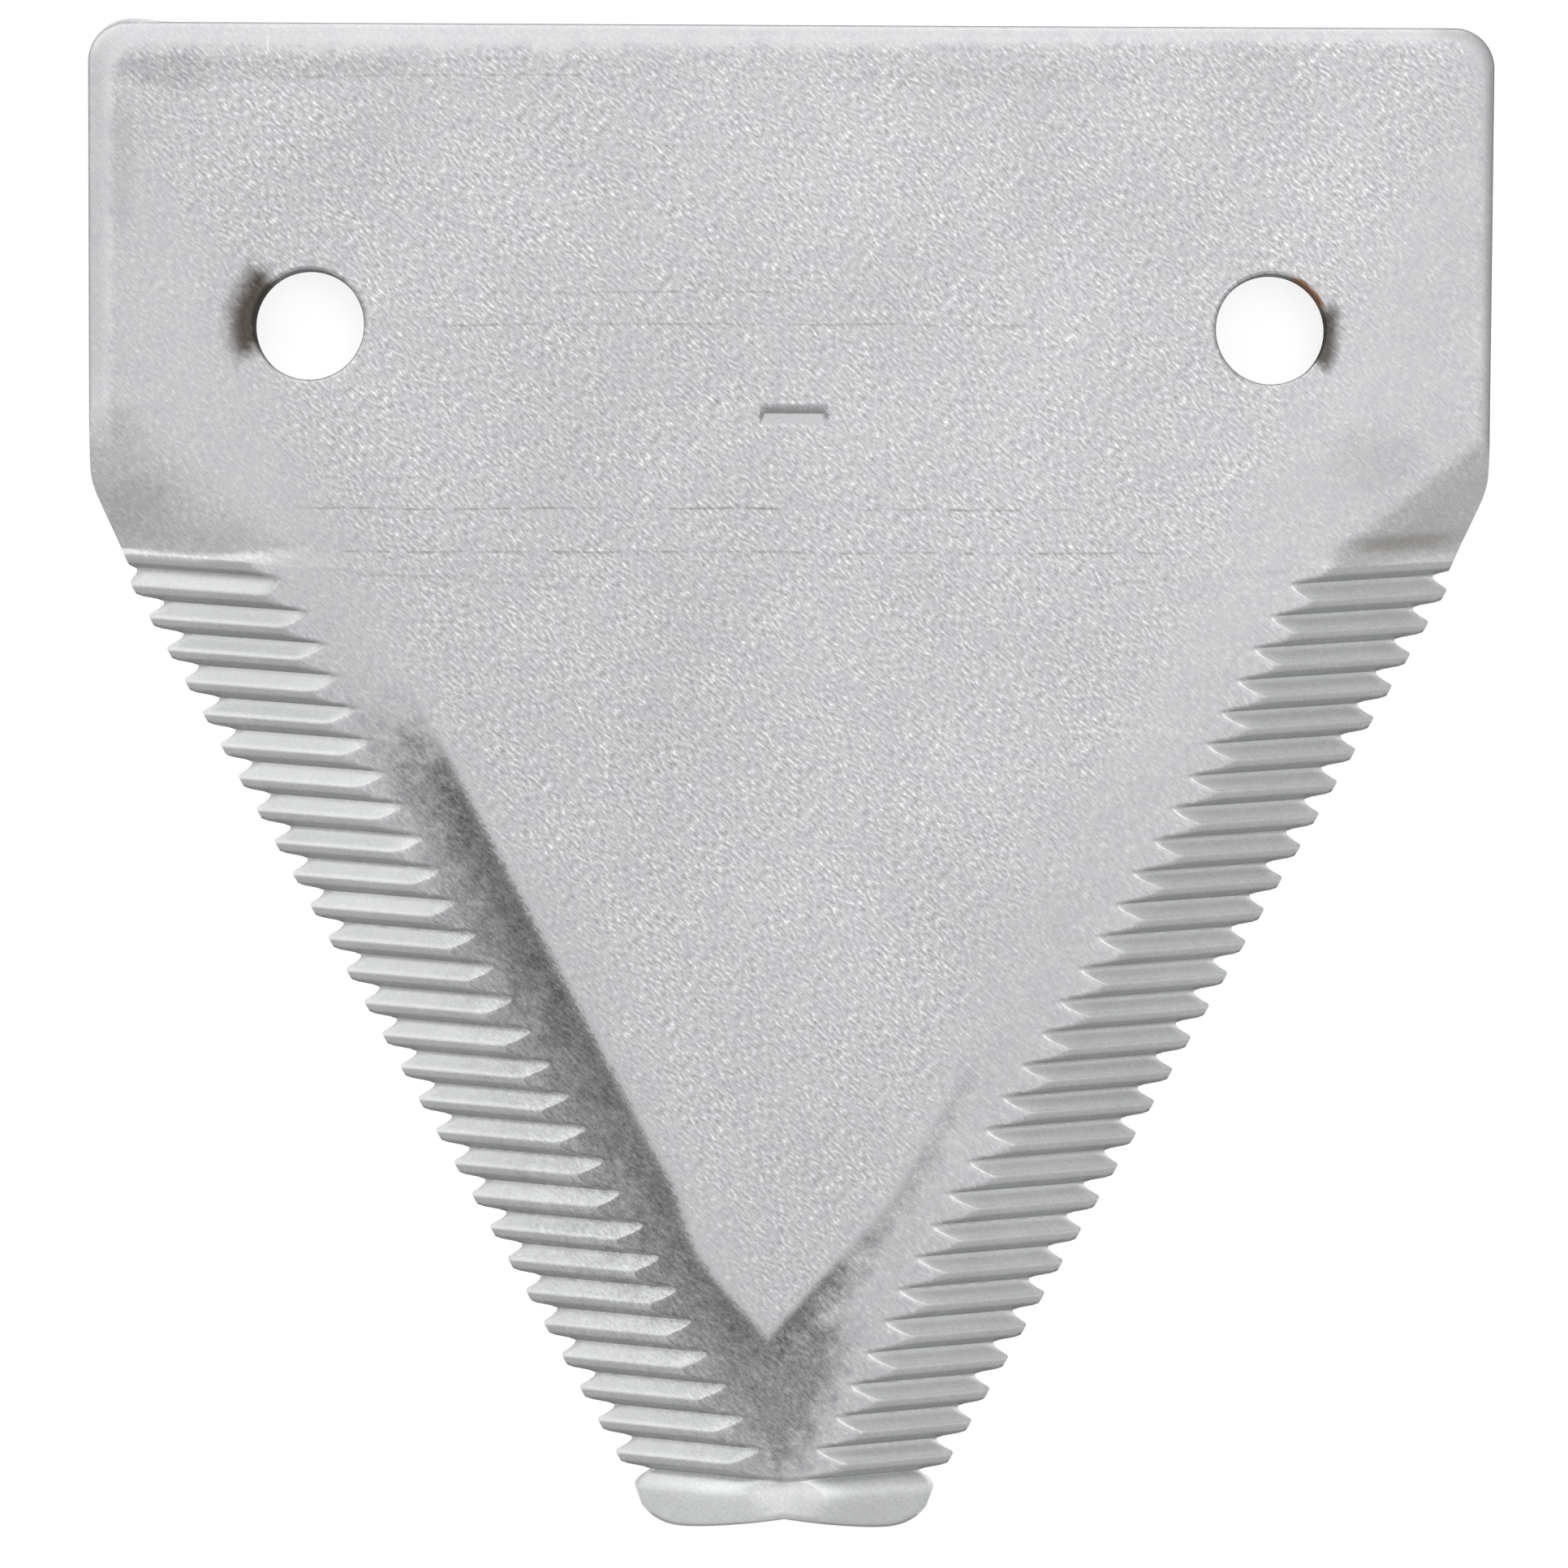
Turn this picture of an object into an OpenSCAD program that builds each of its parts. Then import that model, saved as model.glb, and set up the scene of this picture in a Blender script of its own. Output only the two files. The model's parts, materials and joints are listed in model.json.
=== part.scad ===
// Mower sickle section: one flat steel knife plate with two bolt holes, a blunt tip and a
// serrated bevel along each slanted cutting edge. The origin is the middle of the hole pair on
// the underside, +Y points to the back edge and +Z to the serrated face.

/* [Plate] */
// Thickness of the plate
thickness = 3; // [2.5:0.1:4]
// Width of the heel at the back edge
heel_width = 76.1; // [72:0.1:84]
// Width of the heel at its shoulders
shoulder_width = 75.7; // [72:0.1:84]
// Distance from the line of the holes to the back edge
back_reach = 16.35; // [12:0.05:24]
// Distance from the line of the holes to the shoulders
shoulder_reach = 8.5; // [7:0.1:10]
// Radius of the back corners
back_corner_r = 2.2; // [0.5:0.1:5]
// Radius that softens the shoulders
shoulder_corner_r = 2.5; // [0.5:0.1:4]
// Angle of the short shoulder flats from the centre line
shoulder_angle = 25; // [15:0.5:35]
// Chamfer along the upper edges of the heel
edge_break = 0.35; // [0.1:0.05:0.8]

/* [Bolt holes] */
// Distance between the hole centres
hole_spacing = 52; // [40:0.1:56]
// Diameter of the holes
hole_d = 5.95; // [4:0.05:8]
// Chamfer at the upper rim of the holes
hole_rim = 0.3; // [0.1:0.05:0.6]

/* [Cutting edges] */
// Distance from the line of the holes to the first groove
first_groove_reach = 13.1; // [12.5:0.1:15]
// Distance from the line of the holes to the last groove
last_groove_reach = 61.8; // [58:0.1:62]
// Width across the cutting edges at the first groove
edge_start_width = 72.5; // [68:0.1:76]
// Number of grooves along each cutting edge
groove_count = 29; // [20:1:32]
// Share of the pitch that the long flank of a tooth takes
long_flank = 0.57; // [0.5:0.01:0.6]
// Share of the pitch from a groove to the knee of the tooth's short flank
knee_place = 0.7; // [0.66:0.01:0.76]
// Depth of the knee below the tooth crests
knee_depth = 0.13; // [0.1:0.01:0.2]
// Depth below the tooth crests at which the flanks of a groove would meet
groove_depth = 0.84; // [0.7:0.01:0.9]
// Radius in the bottom of a groove
gullet_r = 0.4; // [0.3:0.01:0.45]
// Radius on the crest and the knee of a tooth
crest_r = 0.12; // [0.05:0.01:0.2]
// Angle by which the grooves lean towards the tip
groove_lean = 4.2; // [0:0.1:8]
// Slope of the tooth crests, square to the cutting edge
bevel_angle = 24.6; // [20:0.1:30]
// Thickness left at the tooth tips
edge_land = 0.13; // [0.05:0.01:0.4]

/* [Faces beside the serrations] */
// Slope of the relief faces between the flat top and the grooves
relief_angle = 4; // [2:0.1:6]
// Angle of the relief creases from the centre line
crease_angle = 32; // [30:0.1:34]
// Distance from the line of the holes to the point where the creases meet
crease_reach = 55.1; // [52:0.1:58]
// Distance that the run-out faces reach past the shoulders towards the back
runout_lead = 2.4; // [1:0.1:5]
// Slope of the run-out faces at the start of the serrations
runout_angle = 38; // [25:0.5:45]

/* [Tip] */
// Distance from the line of the holes to the corners of the tip
tip_corner_reach = 62.6; // [62.4:0.1:64]
// Width of the tip across its corners
tip_width = 16.5; // [14:0.1:20]
// Distance from the line of the holes to the end of the tip
tip_reach = 64.98; // [64.5:0.02:68]
// Width of the tip across its lower corners
lobe_width = 14.7; // [12:0.1:16]
// Rise of the lower corners above the end of the tip
lobe_rise = 0.35; // [0.1:0.05:0.8]
// Distance between the two lowest places of the tip
lobe_spacing = 9.8; // [6:0.1:12]
// Depth of the shallow dip in the middle of the tip
tip_dip = 0.5; // [0.1:0.05:1]
// Radius of the lower corners of the tip
lobe_corner_r = 1; // [0.3:0.1:1.2]

/* [Stamped mark] */
// Length of the stamped dash
mark_length = 3.6; // [2:0.1:8]
// Width of the gentle lower side of the stamped dash
mark_width = 0.9; // [0.5:0.1:2]
// Width of the steep upper side of the stamped dash
mark_steep = 0.45; // [0.2:0.05:1]
// Depth of the dash along its deepest line
mark_depth = 0.25; // [0.1:0.05:0.6]
// Distance from the line of the holes to the deepest line of the dash
mark_reach = 4.7; // [2:0.1:10]
// Distance from the centre line to the middle of the dash
mark_offset = 0.25; // [-5:0.05:5]

/* [Hidden] */
$fn = 64;
// Steps in a rounded corner of the outline and in a rounded groove or crest
corner_steps = 8;
groove_steps = 4;
crest_steps = 3;
// Length by which a cutter runs clear of the plate
clear = 3;
cutter_size = 2 * heel_width;

// The cutting edges run from the first groove to the corners of the tip
edge_run = tip_corner_reach - first_groove_reach;
edge_angle = atan((edge_start_width - tip_width) / 2 / edge_run);
function edge_x(y) = edge_start_width / 2 + (y + first_groove_reach) * tan(edge_angle);

// The grooves climb inwards: their slope, and their pitch and fall seen along their own length
cross_angle = edge_angle + groove_lean;
groove_slope = atan(tan(bevel_angle) * cos(cross_angle));
groove_pitch = (last_groove_reach - first_groove_reach) / (groove_count - 1);
profile_pitch = groove_pitch / cos(edge_angle) * cos(cross_angle);
profile_fall = tan(cross_angle) * sin(groove_slope);
groove_length = (thickness + groove_depth) / sin(groove_slope) + 2 * clear;
edge_shift = edge_run / cos(edge_angle) * sin(cross_angle) * cos(groove_slope);

// The run-out faces meet the flat top on a line from the first groove to the side of the heel
bevel_run = (thickness - edge_land) / tan(bevel_angle) / cos(edge_angle);
runout_inner = [edge_x(-first_groove_reach) - bevel_run, -first_groove_reach];
runout_outer = [shoulder_width / 2, runout_lead - shoulder_reach];
runout_turn = atan2(runout_outer.y - runout_inner.y, runout_outer.x - runout_inner.x);

function unit(v) = v / norm(v);

// Points of the arc of radius r that rounds the corner b between a and c
function rounded_corner(a, b, c, r, steps) =
    let (
        to_a = unit(a - b),
        to_c = unit(c - b),
        half = acos(to_a * to_c) / 2,
        centre = b + unit(to_a + to_c) * r / sin(half),
        from = b + to_a * r / tan(half) - centre,
        to = b + to_c * r / tan(half) - centre,
        start = atan2(from.y, from.x),
        sweep = (atan2(to.y, to.x) - start + 540) % 360 - 180
    )
    [for (i = [0 : steps]) let (t = start + sweep * i / steps) centre + r * [cos(t), sin(t)]];

// Corners of the right half of the outline, from the back edge to the tip: x, y and radius
shoulder_drop = first_groove_reach - shoulder_reach;
first_tooth_y = -first_groove_reach - long_flank * groove_pitch;
right_corners = [
    [heel_width / 2, back_reach, back_corner_r],
    [shoulder_width / 2, -shoulder_reach, shoulder_corner_r],
    [shoulder_width / 2 - shoulder_drop * tan(shoulder_angle), -first_groove_reach, 0],
    [edge_x(first_tooth_y), first_tooth_y, 0],
    [tip_width / 2, -tip_corner_reach, 0],
    [lobe_width / 2, lobe_rise - tip_reach, lobe_corner_r],
    [lobe_spacing / 2, -tip_reach, 0],
    [0, tip_dip - tip_reach, 0],
];
function mirrored(corner) = [-corner.x, corner.y, corner.z];
left_corners = [for (i = [len(right_corners) - 2 : -1 : 0]) mirrored(right_corners[i])];
corners = concat(right_corners, left_corners);

function flat(corner) = [corner.x, corner.y];
function outline_at(i) =
    let (
        n = len(corners),
        a = flat(corners[(i + n - 1) % n]),
        b = flat(corners[i]),
        c = flat(corners[(i + 1) % n]),
        r = corners[i].z
    )
    r > 0 ? rounded_corner(a, b, c, r, corner_steps) : [b];
outline = [for (i = [0 : len(corners) - 1]) each outline_at(i)];

// Profile of all grooves of one side: across the grooves, and square to their length
function crest_at(u) = [u, -profile_fall * u];
function gullet(i) = crest_at(i * profile_pitch) - [0, groove_depth];
function crest(i) = crest_at((i + long_flank) * profile_pitch);
function knee(i) = crest_at((i + knee_place) * profile_pitch) - [0, knee_depth];
function tooth(i) = concat(
    rounded_corner(gullet(i), crest(i), knee(i), crest_r, crest_steps),
    rounded_corner(crest(i), knee(i), gullet(i + 1), crest_r, crest_steps)
);
groove_profile = [
    for (i = [0 : groove_count - 1])
        each concat(
            rounded_corner(knee(i - 1), gullet(i), crest(i), gullet_r, groove_steps),
            i < groove_count - 1 ? tooth(i) : [crest(i)]
        )
];
profile_start = crest_at(-2 * shoulder_drop);
profile_end = crest_at((groove_count + clear) * profile_pitch);
profile_top = [0, 2 * thickness + clear];

module blank() {
    linear_extrude(thickness) polygon(outline);
}

// Cuts away all that lies above a profile drawn across the grooves
module cut_above(profile) {
    from = profile[0];
    to = profile[len(profile) - 1];
    translate([edge_x(-first_groove_reach), -first_groove_reach, edge_land])
        rotate([90 - groove_slope, 0, groove_lean - 90])
        translate([0, 0, -clear])
        linear_extrude(groove_length + edge_shift)
        polygon(concat([from + profile_top], profile, [to + profile_top]));
}

module relief_cutter() {
    translate([0, -crease_reach, thickness])
        rotate([0, relief_angle, -crease_angle])
        translate([0, -cutter_size / 2, 0])
        cube([cutter_size, 1.5 * cutter_size, thickness + clear]);
}

module above_runout() {
    translate([runout_inner.x, runout_inner.y, thickness])
        rotate([0, 0, runout_turn])
        rotate([runout_angle, 0, 0])
        translate([-cutter_size / 2, -cutter_size, 0])
        cube([cutter_size, cutter_size, cutter_size]);
}

// All that is cut from the upper face along the right cutting edge
module bevel_cut() {
    intersection() {
        union() {
            relief_cutter();
            cut_above([profile_start, crest(-1)]);
        }
        above_runout();
    }
    cut_above(concat([crest(-1), knee(-1)], groove_profile, [profile_end]));
}

// Upper edge of the heel from the left shoulder round the back to the right shoulder
heel_points = [for (p = outline) if (p.y > -shoulder_reach) p];
heel_path = concat([for (p = heel_points) if (p.x < 0) p], [for (p = heel_points) if (p.x > 0) p]);

// The plate with a chamfer along the given number of stretches of the heel's upper edge
module chamfered_blank(stretches) {
    along = heel_path[stretches] - heel_path[stretches - 1];
    difference() {
        if (stretches > 1)
            chamfered_blank(stretches - 1);
        else
            blank();
        translate([heel_path[stretches].x, heel_path[stretches].y, thickness - edge_break])
            rotate([0, 0, atan2(along.y, along.x)])
            rotate([-45, 0, 0])
            translate([-cutter_size / 2, -cutter_size / 2, 0])
            cube([cutter_size, cutter_size, thickness]);
    }
}

module bolt_hole() {
    rim_z = thickness - hole_rim;
    translate([0, 0, -clear])
        cylinder(d = hole_d, h = thickness + 2 * clear);
    translate([0, 0, rim_z])
        cylinder(d1 = hole_d, d2 = hole_d + 4 * hole_rim, h = 2 * hole_rim);
}

module stamped_mark() {
    translate([mark_offset - mark_length / 2, -mark_reach, thickness])
        rotate([90, 0, 90])
        linear_extrude(mark_length)
        polygon([[0, -mark_depth], [2 * mark_steep, mark_depth], [-2 * mark_width, mark_depth]]);
}

module sickle_section() {
    color([0.78, 0.78, 0.8])
    difference() {
        chamfered_blank(len(heel_path) - 1);
        for (side = [0, 1]) mirror([side, 0, 0]) {
            bevel_cut();
            translate([hole_spacing / 2, 0, 0]) bolt_hole();
        }
        stamped_mark();
    }
}

sickle_section();
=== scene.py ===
"""Looks of a mower sickle section: a serrated steel knife plate lying on a pale studio floor."""

import json
import math
from types import SimpleNamespace

import bpy
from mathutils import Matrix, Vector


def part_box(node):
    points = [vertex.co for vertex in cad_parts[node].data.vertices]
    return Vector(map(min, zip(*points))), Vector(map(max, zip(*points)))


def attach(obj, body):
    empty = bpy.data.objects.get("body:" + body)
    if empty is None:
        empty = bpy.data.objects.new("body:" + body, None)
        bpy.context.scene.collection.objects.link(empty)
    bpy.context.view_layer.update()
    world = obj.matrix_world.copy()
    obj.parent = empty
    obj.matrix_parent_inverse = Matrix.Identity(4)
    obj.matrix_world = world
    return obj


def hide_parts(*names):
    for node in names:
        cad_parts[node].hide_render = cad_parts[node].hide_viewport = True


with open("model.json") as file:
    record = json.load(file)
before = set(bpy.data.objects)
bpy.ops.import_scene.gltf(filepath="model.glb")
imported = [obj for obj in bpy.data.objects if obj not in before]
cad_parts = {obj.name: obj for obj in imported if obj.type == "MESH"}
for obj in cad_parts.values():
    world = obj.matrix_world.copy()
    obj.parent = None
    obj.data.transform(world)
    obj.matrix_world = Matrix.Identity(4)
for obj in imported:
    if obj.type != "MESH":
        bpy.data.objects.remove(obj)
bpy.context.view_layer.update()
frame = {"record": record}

NODE = "sickle_section"
PIECE = "sickle_section_plate"

MM = 0.001
LOW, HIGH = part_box(NODE)
MOUNTS = {mount["name"]: mount["dims"] for mount in frame["record"]["mounts"]}
BOLT_HOLES = MOUNTS["bolt_holes"]

# Rows of the plate's mesh from the back edge to the tip, and columns from a side to the centre line
CORNER_ROWS = 14
SIDE_ROWS = 10
RUNOUT_ROWS = 40
ROWS_PER_GROOVE = 18
LEAD_IN_ROWS = 9
LOBE_START_ROWS = 10
TIP_ROWS = 12
BEVEL_COLUMNS = 44
FLAT_COLUMNS = 6
HOLE_SEGMENTS = 96
HOLE_RINGS = 100
MARK_COLUMNS = 61
MARK_ROWS = 31

# Groove profile: roundings are shares of the groove depth, lengths are shares of the pitch
WALL_POWER = 5.0
CREST_ROUNDING = 0.34
GULLET_ROUNDING = 0.16
TAIL_LENGTH = 0.95
TAIL_POWER = 2.0
FIRST_LEFT_DEPTH = 0.7
LEAD_CREST_START = 1.02
LEAD_CREST_END = 0.86

# Where the faces change along the plate, in millimetres from the line of the holes
RELIEF_START, RELIEF_FULL = -13.6, -26.0
SHIFT_START, SHIFT_FULL = -46.0, -51.5
LOBES_START, LOBES_FULL = -61.5, -63.0

# How far past the line of the holes the rows over the run-out faces start, in millimetres
RUNOUT_ROWS_START = 4.0

# Where the faces change across the plate, in millimetres from the centre line
CORNER_RISE_START, CORNER_RISE_FULL = -33.4, -35.4
# Between these the painted highlight on the first crest of the left side fades in towards the side
LEAD_CREST_INNER, LEAD_CREST_OUTER = 30.0, 32.5

# Reach of the soft blends between faces, in millimetres
CREASE_BLEND = 1.2
CENTRE_BLEND = 4.0
RELIEF_CENTRE_BLEND = 3.0
RELIEF_BLEND = 0.07
LEFT_RUNOUT_BLEND = 3.0
RIGHT_RUNOUT_BLEND = 1.0
RUNOUT_FADE = 0.45
GROOVE_BLEND = 0.12
LOBE_BLEND = 0.7
LEAD_BLEND = 0.2
LAND_BLEND = 0.14

# Least height of the upper face, what still counts as flat and what is welded, in millimetres
LEAST_HEIGHT = 0.04
FLAT_TOLERANCE = 0.0005
WELD_DISTANCE = 0.001

# Faces that meet at less than this angle are shaded as one
SOFT_ANGLE = math.radians(50)

# Direction of the blasted grain, and its length, width and depth in millimetres
GRAIN_TURN = math.radians(-42)
GRAIN_SIZE = (0.38, 0.15, 0.3)

# Where the dark tint beside the grooves, partly painted shade, starts and is full along the plate, in
# millimetres from the line of the holes
LEFT_TINT_SHADE_START, LEFT_TINT_SHADE_FULL = -19.5, -26.0
RIGHT_TINT_SHADE_START, RIGHT_TINT_SHADE_FULL = -48.5, -52.5
TIP_TINT_SHADE_START, TIP_TINT_SHADE_FULL = -52.5, -54.5
TINT_SHADE_END, TINT_SHADE_FOOT = -63.4, -61.2

# How strongly each mark covers the steel under it; pairs are for the left and the right side
# The tint is partly painted shade, the dash and edge marks are painted shade, and the lobe, groove-end and
# lead-crest marks are painted highlights
TINT_SHADE_COVER = 0.86
STAIN_COVER = (0.95, 0.9)
RUST_COVER = 0.8
DUST_COVER = 0.4
LINE_COVER = 0.45
DASH_SHADE_COVER = 0.5
MARK_COVER = 0.1
EDGE_SHADE_COVER = 0.3
LOBE_HIGHLIGHT_COVER = (0.8, 0.5)
GROOVE_END_HIGHLIGHT_COVER = (0.35, 0.8)
LEAD_CREST_HIGHLIGHT_COVER = 0.5
NICK_COVER = 0.3

# Stains at the bolt holes: side, width in millimetres, and the angles between which they lie
LEFT_STAIN = (-1.0, 2.1, -0.48, 0.88)
RIGHT_STAIN = (1.0, 1.15, -0.67, 0.37)
RUST_FRINGE = (1.0, 0.24, 0.4, 1.2)

# Rolling lines: place along the plate, start and end across it, in millimetres, and strength
ROLL_LINES = (
    (-9.85, -27.5, 16.5, 0.9),
    (-12.2, -26.5, 22.5, 0.8),
    (-13.5, -26.0, 12.0, 0.35),
    (1.85, -20.0, 2.0, 0.45),
    (0.1, -21.0, 14.5, 0.6),
    (13.6, -30.0, -8.0, 0.45),
    (6.9, -9.0, 3.0, 0.3),
)

# Darker patches: place across and along the plate, width and height, in millimetres, and strength
BLOTCHES = (
    (-33.8, 13.7, 3.2, 1.1, 1.0),
    (-26.0, 13.9, 6.5, 0.8, 0.7),
    (-36.2, 9.0, 1.0, 4.0, 0.6),
    (-35.3, -9.6, 2.4, 1.5, 0.7),
    (-36.2, -5.4, 1.3, 1.3, 0.5),
    (-25.5, 2.8, 1.5, 0.8, 0.5),
    (31.5, -7.0, 3.0, 2.0, 0.6),
    (10.5, 13.6, 9.0, 0.7, 0.4),
)

# Soft lights: name, place and width in metres, and power in watts
SOFTBOXES = (
    ("overhead_softbox", (0.2, 0.2, 0.95), 0.7, 1.95),
    ("left_softbox", (-0.72, 0.6, 0.42), 1.0, 2.9),
    ("back_softbox", (0.1, 0.9, 0.35), 0.6, 1.6),
)
SKY_STRENGTH = 0.66
FLOOR_WIDTH = 4.0
FLOOR_GREY = 0.4
FLOOR_GLOW = 0.76

bl_info = {
    "name": "Mower sickle section",
    "version": (1, 0, 0),
    "blender": (4, 5, 0),
    "location": "View3D > Sidebar > Sickle",
    "description": "Builds a serrated knife section, its steel finish and a studio to show it in",
    "category": "Object",
}


def distance(name, description, millimetres):
    """A length that shows in the sidebar, given in millimetres."""
    return bpy.props.FloatProperty(
        name=name,
        description=description,
        default=millimetres * MM,
        precision=5,
        subtype="DISTANCE",
        unit="LENGTH",
    )


def angle(name, description, degrees):
    """An angle that shows in the sidebar, given in degrees."""
    return bpy.props.FloatProperty(
        name=name,
        description=description,
        default=math.radians(degrees),
        subtype="ANGLE",
        unit="ROTATION",
    )


def share(name, description, default):
    """A part of a whole, from 0 to 1."""
    return bpy.props.FloatProperty(
        name=name, description=description, default=default, min=0.0, max=1.0, subtype="FACTOR"
    )


def colour(name, description, default):
    """A surface colour in linear values."""
    return bpy.props.FloatVectorProperty(
        name=name, description=description, default=default, size=3, min=0.0, max=1.0, subtype="COLOR"
    )


class PlateSizes(bpy.types.PropertyGroup):
    """Sizes of the knife plate."""

    thickness: distance("Thickness", "Thickness of the plate", (HIGH[2] - LOW[2]) / MM)
    heel_width: distance("Heel Width", "Width of the heel at the back edge", 76.1)
    shoulder_width: distance("Shoulder Width", "Width of the heel at its shoulders", 75.7)
    back_reach: distance("Back Reach", "From the line of the holes to the back edge", HIGH[1] / MM)
    shoulder_reach: distance("Shoulder Reach", "From the line of the holes to the shoulders", 8.5)
    back_corner: distance("Back Corner Radius", "Radius of the back corners", 2.2)
    corner_rise: distance("Corner Rise", "Rise of the back edge at the left corner", 0.16)
    shoulder_blend: distance("Shoulder Blend", "Softening of the shoulders", 0.6)
    shoulder_angle: angle("Shoulder Angle", "Angle of the shoulder flats from the centre line", 25)
    roll_width: distance("Edge Roll Width", "Width of the rounded upper edge of the heel", 1.2)
    roll_depth: distance("Edge Roll Depth", "Depth of the rounded upper edge of the heel", 0.4)

    hole_spacing: distance("Hole Spacing", "Between the bolt hole centres", BOLT_HOLES["spacing_x_mm"])
    hole_radius: distance("Hole Radius", "Radius of the bolt holes", BOLT_HOLES["hole_r_mm"])
    hole_roll: distance("Hole Rim Radius", "Radius of the rounded upper rim of the holes", 0.2)

    first_groove: distance("First Groove", "From the line of the holes to the first groove", 13.1)
    last_groove: distance("Last Groove", "From the line of the holes to the last groove", 61.8)
    edge_width: distance("Edge Width", "Width across the cutting edges at the first groove", 72.5)
    groove_count: bpy.props.IntProperty(
        name="Groove Count", description="Number of grooves along each cutting edge", default=29, min=2
    )
    long_flank: share("Long Flank", "Share of the pitch that a tooth's long flank takes", 0.56)
    wall_foot: share("Wall Foot", "Share of the pitch at which a tooth's steep wall ends", 0.96)
    scoop: bpy.props.FloatProperty(
        name="Scoop", description="Hollowness of the long flanks, 1 is flat", default=1.4, min=1.0, max=3.0
    )
    groove_depth: distance("Groove Depth", "Depth of a groove below the crests", 0.65)
    groove_lean: angle("Groove Lean", "Angle by which the grooves lean towards the tip", 4.2)
    bevel_angle: angle("Bevel Angle", "Slope of the tooth crests, square to the edge", 24.6)
    edge_land: distance("Edge Land", "Thickness left at the tooth tips", 0.13)
    lead_groove: distance("Lead Groove", "Depth of the faint groove in the right run-out face", 0.14)
    groove_play: share("Groove Play", "Share of its depth by which a groove may differ", 0.12)

    relief_angle: angle("Relief Angle", "Slope of the relief faces beside the grooves", 4)
    crease_angle: angle("Crease Angle", "Angle of the relief creases from the centre line", 27.9)
    crease_reach: distance("Crease Reach", "Reach of the creases if they ran on straight", 57.9)
    crease_turn: angle("Crease Turn", "Angle of the last stretch of the creases", 42)
    crease_end: distance("Crease End", "From the line of the holes to where the creases meet", 54.6)
    crease_shift: distance("Crease Shift", "Shift to the left of the place where the creases meet", 0.95)
    runout_lead: distance("Run-out Lead", "Reach of the run-out faces past the shoulders", 2.4)
    runout_angle: angle("Run-out Angle", "Slope of the run-out faces", 38)

    tip_reach: distance("Tip Reach", "From the line of the holes to the end of the tip", -LOW[1] / MM)
    tip_corner: distance("Tip Corner Reach", "From the line of the holes to the tip's corners", 62.6)
    tip_width: distance("Tip Width", "Width of the tip across its corners", 16.5)
    lobe_width: distance("Lobe Width", "Width of the tip across its lower corners", 15.4)
    lobe_spacing: distance("Lobe Spacing", "Between the two lowest places of the tip", 9.8)
    lobe_rise: distance("Lobe Rise", "Height of the rounding of the lower corners", 1.05)
    tip_dip: distance("Tip Dip", "Depth of the shallow dip in the middle of the tip", 0.5)
    tip_roll: distance("Tip Roll", "Width of the rounded lower edge of the tip", 0.35)

    mark_length: distance("Mark Length", "Length of the stamped dash", 3.7)
    mark_width: distance("Mark Width", "Width of the stamped dash", 1.35)
    mark_steep: distance("Mark Steep Side", "Width of the dash's steep upper side", 0.6)
    mark_depth: distance("Mark Depth", "Depth of the dash along its deepest line", 0.17)
    mark_offset: distance("Mark Offset", "From the centre line to the middle of the dash", 0.24)
    mark_reach: distance("Mark Reach", "From the line of the holes to the dash's deepest line", 4.68)


class SteelFinish(bpy.types.PropertyGroup):
    """Colours of the steel."""

    flat: colour("Flat Faces", "Blasted flat faces", (0.545, 0.545, 0.568))
    warm: colour("Warm Patches", "Warmer patches of the flat faces", (0.558, 0.55, 0.552))
    serrated: colour("Serrated Bevels", "Smooth faces of the grooves", (0.565, 0.575, 0.57))
    # Colour of painted highlights on the tip lobes, groove ends and first left crest, and of the real nick
    bright: colour("Worn Edges", "Bright worn metal on the tip and at the groove ends", (0.86, 0.87, 0.87))
    # Paler than the flats to paint light onto the steep run-out faces
    runout: colour("Run-out Faces", "Matte faces at the start of the serrations", (0.67, 0.67, 0.67))
    dust: colour("Dust", "Brown dust in the faint groove of the right run-out", (0.3, 0.27, 0.24))
    # Mottled dark tint, partly painted shade; also the colour of the rolling lines and of painted shade in
    # the dash and at the right edge
    tint_shade: colour("Dark Film", "Dark film on the relief faces", (0.15, 0.145, 0.142))
    stain: colour("Hole Stain", "Brown stain at the outer side of the bolt holes", (0.075, 0.062, 0.05))
    rust: colour("Rust", "Rust fringe at the right bolt hole", (0.4, 0.18, 0.06))


class StageSettings(bpy.types.PropertyGroup):
    """Camera and light of the studio."""

    frame_width: distance("Frame Width", "Width of the picture on the plate", 84.74)
    frame_x: distance("Frame X", "Middle of the picture across the plate", -0.2)
    frame_y: distance("Frame Y", "Middle of the picture along the plate", -24.7)
    camera_height: distance("Camera Height", "Height of the camera over the plate", 600)
    camera_roll: angle("Camera Roll", "Turn of the picture", 0.285)


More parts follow.
